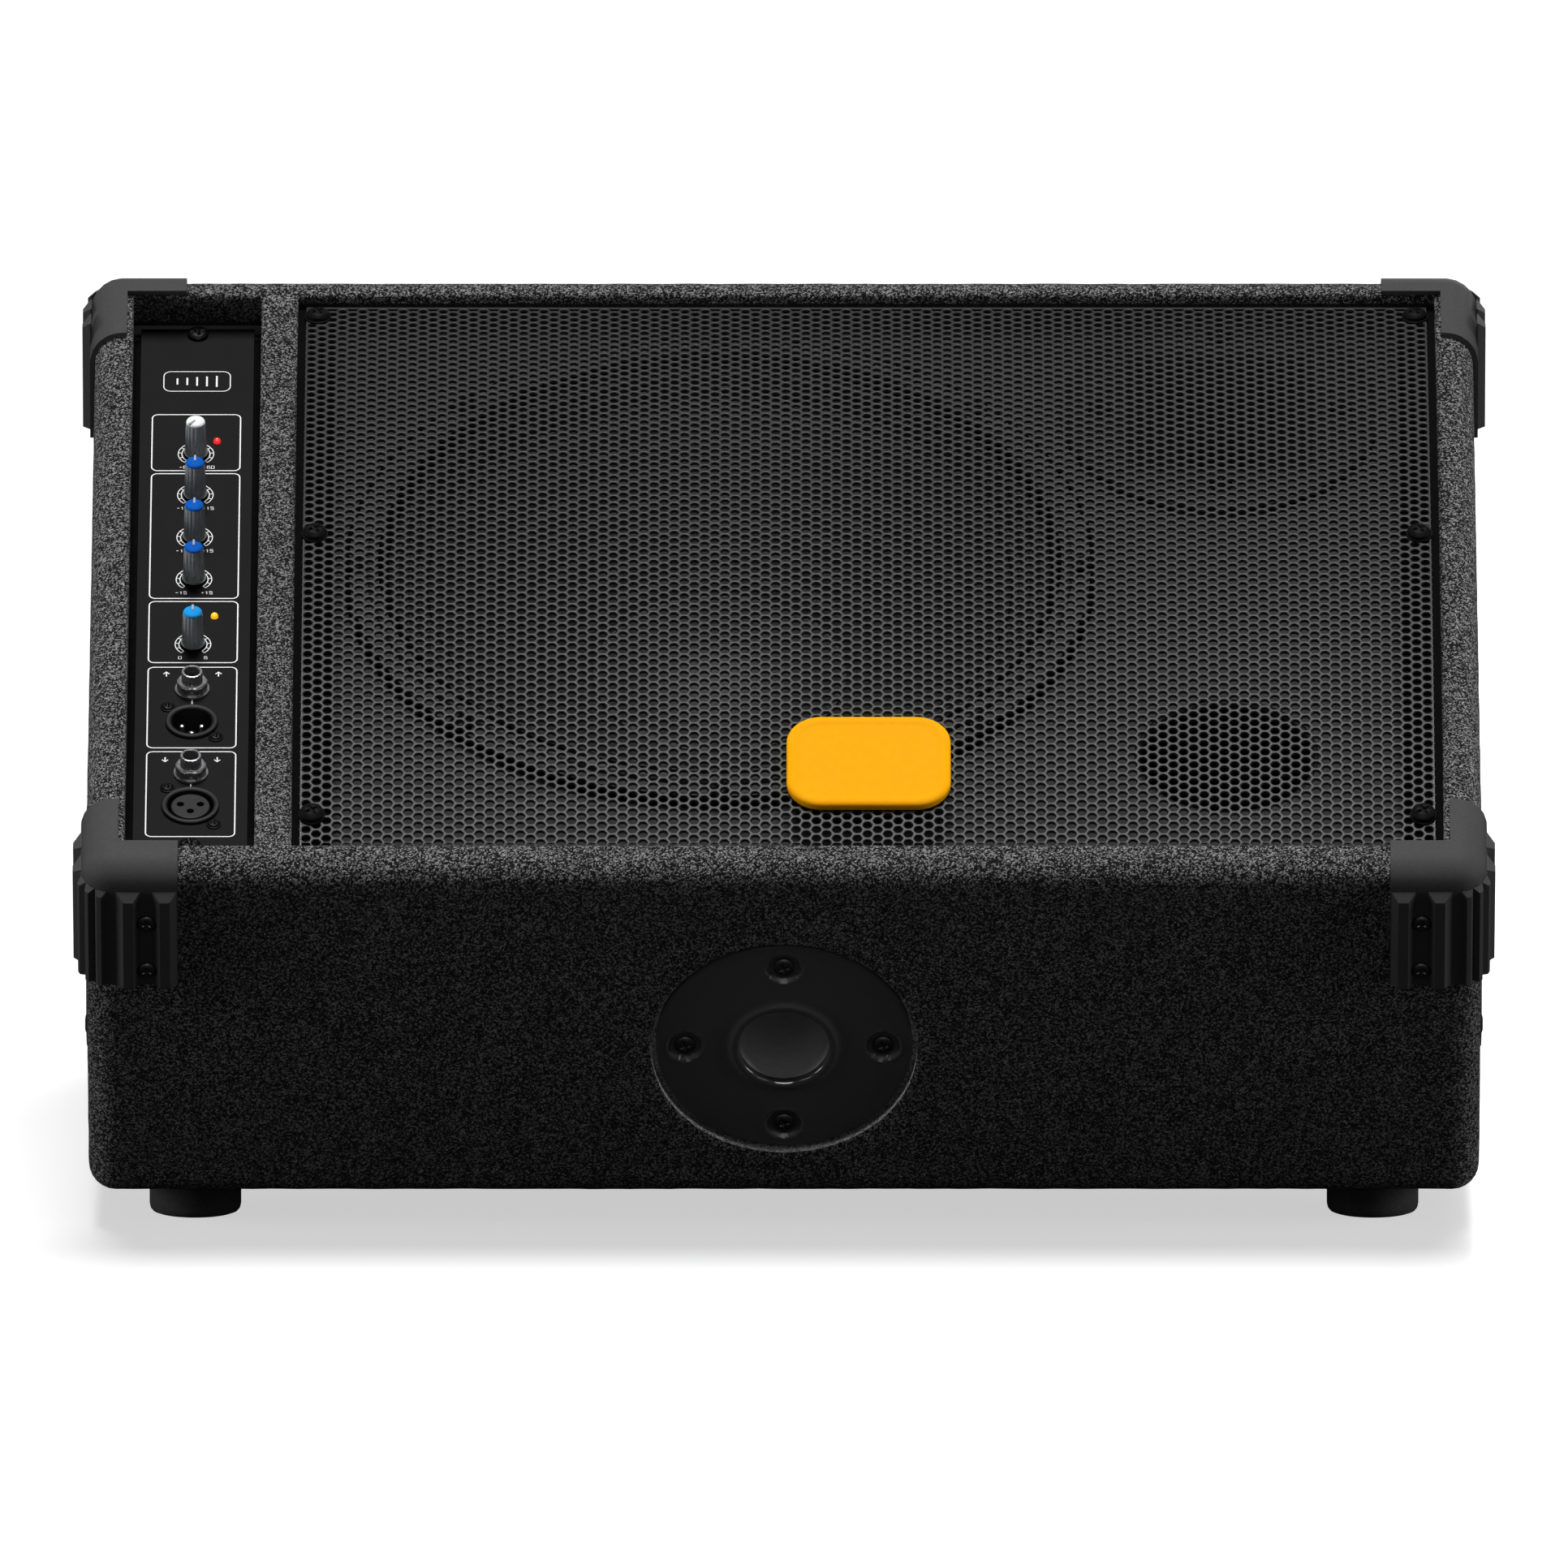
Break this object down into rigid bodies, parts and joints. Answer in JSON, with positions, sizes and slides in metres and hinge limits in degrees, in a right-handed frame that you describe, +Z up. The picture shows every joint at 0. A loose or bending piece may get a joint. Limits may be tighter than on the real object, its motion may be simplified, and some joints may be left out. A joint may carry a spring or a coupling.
{
  "type": "stage monitor wedge",
  "caption": "Wedge-shaped powered floor monitor loudspeaker: carpeted box, bowed perforated grille, side control strip, corner guards and a pole socket.",
  "frame": {"origin": "centre of the overall box in plan, on the floor plane through the undersides of the feet", "axes": "+X to the right seen from the front, along the width; +Y from the front face to the rear; +Z up; the sloping grille face looks up and towards -Y"},
  "size_m": [0.5706, 0.4281, 0.3425],
  "materials": {
    "carpet": "heather needle-punched carpet",
    "plywood": "raw plywood",
    "black_wood": "black stained",
    "guard": "satin moulded",
    "rubber": "matte",
    "black_plastic": "satin moulded",
    "screw_black": "black zinc",
    "grille_metal": "black powder coat",
    "amber": "gloss",
    "frame_metal": "black powder coat",
    "steel": "zinc plated",
    "ferrite": "sintered ferrite, dull",
    "cone_paper": "coated paper",
    "spider_cloth": "impregnated cloth",
    "copper": "enamelled winding",
    "alu": "satin",
    "panel_paint": "satin black with white print",
    "board": "solder mask",
    "knob_grey": "smoky",
    "cap_white": "satin",
    "cap_blue": "satin",
    "cap_sky": "satin",
    "nut": "clear over chrome",
    "pin_silver": "plated",
    "red_led": "clear tinted",
    "amber_led": "clear tinted",
    "wadding": "polyester wool"
  },
  "bodies": {
    "cabinet": {"carpet_cover": "carpet", "side_panels": "plywood", "front_panel": "plywood", "bottom_panel": "plywood", "rear_panel": "plywood", "baffle_board": "black_wood", "divider_board": "plywood", "corner_protectors": "guard", "rubber_feet": "rubber", "side_handles": "black_plastic", "case_screws": "screw_black", "pole_cup": "black_plastic", "port_tube": "black_plastic", "grille": "grille_metal", "battens": "black_wood", "grille_screws": "screw_black", "badge": "amber", "woofer_frame": "frame_metal", "woofer_gasket": "rubber", "woofer_top_plate": "steel", "woofer_magnet": "ferrite", "woofer_yoke": "steel", "driver_screws": "screw_black", "woofer_surround": "cone_paper", "woofer_spider": "spider_cloth", "horn_flare": "black_plastic", "compression_driver": "steel", "control_panel": "panel_paint", "control_chassis": "steel", "circuit_boards": "board", "pot_bodies": "board", "jack_sockets": "black_plastic", "jack_nuts": "nut", "link_xlr": "black_plastic", "input_xlr": "black_plastic", "xlr_pins": "pin_silver", "clip_led": "red_led", "filter_led": "amber_led", "panel_screws": "screw_black", "amp_plate": "panel_paint", "heatsink": "alu", "mains_inlet": "black_plastic", "speaker_cables": "rubber", "damping_wadding": "wadding"},
    "woofer_moving_parts": {"woofer_cone": "cone_paper", "woofer_dust_cap": "cone_paper", "woofer_voice_coil": "copper"},
    "hf_diaphragm": {"hf_diaphragm": "alu"},
    "gain_control": {"gain_knob": "knob_grey", "gain_cap": "cap_white"},
    "treble_control": {"treble_knob": "knob_grey", "treble_cap": "cap_blue"},
    "mid_control": {"mid_knob": "knob_grey", "mid_cap": "cap_blue"},
    "bass_control": {"bass_knob": "knob_grey", "bass_cap": "cap_blue"},
    "filter_control": {"filter_knob": "knob_grey", "filter_cap": "cap_sky"},
    "power_rocker": {"power_rocker": "black_plastic"},
    "fuse_drawer": {"fuse_drawer": "black_plastic"}
  },
  "joints": [
    {"name": "gain_turn", "type": "hinge", "parent": "cabinet", "child": "gain_control", "pos_m": [-0.2385, 0.04994, 0.28364], "axis": [0, -0.4695, 0.8829], "range_deg": [-275, 5]},
    {"name": "treble_turn", "type": "hinge", "parent": "cabinet", "child": "treble_control", "pos_m": [-0.2385, 0.0261, 0.27097], "axis": [0, -0.4695, 0.8829], "range_deg": [-140, 140]},
    {"name": "mid_turn", "type": "hinge", "parent": "cabinet", "child": "mid_control", "pos_m": [-0.2385, 0.00138, 0.25782], "axis": [0, -0.4695, 0.8829], "range_deg": [-140, 140]},
    {"name": "bass_turn", "type": "hinge", "parent": "cabinet", "child": "bass_control", "pos_m": [-0.2385, -0.0229, 0.24491], "axis": [0, -0.4695, 0.8829], "range_deg": [-140, 140]},
    {"name": "filter_turn", "type": "hinge", "parent": "cabinet", "child": "filter_control", "pos_m": [-0.2385, -0.06043, 0.22496], "axis": [0, -0.4695, 0.8829], "range_deg": [-140, 140]},
    {"name": "woofer_travel", "type": "slide", "parent": "cabinet", "child": "woofer_moving_parts", "axis": [0, -0.4695, 0.8829], "range_m": [-0.004, 0.004], "stiffness_N_per_m": 4000, "deforming": ["woofer_surround", "woofer_spider"]},
    {"name": "diaphragm_travel", "type": "slide", "parent": "cabinet", "child": "hf_diaphragm", "axis": [0, -0.4695, 0.8829], "range_m": [-0.0003, 0.0003], "stiffness_N_per_m": 4000},
    {"name": "power_rock", "type": "hinge", "parent": "cabinet", "child": "power_rocker", "pos_m": [0, 0.18032, 0.15044], "axis": [0, 0.2419, -0.9703], "range_deg": [0, 16]},
    {"name": "fuse_drawer_slide", "type": "slide", "parent": "cabinet", "child": "fuse_drawer", "axis": [0, 0.9703, 0.2419], "range_m": [0, 0.016]}
  ]
}
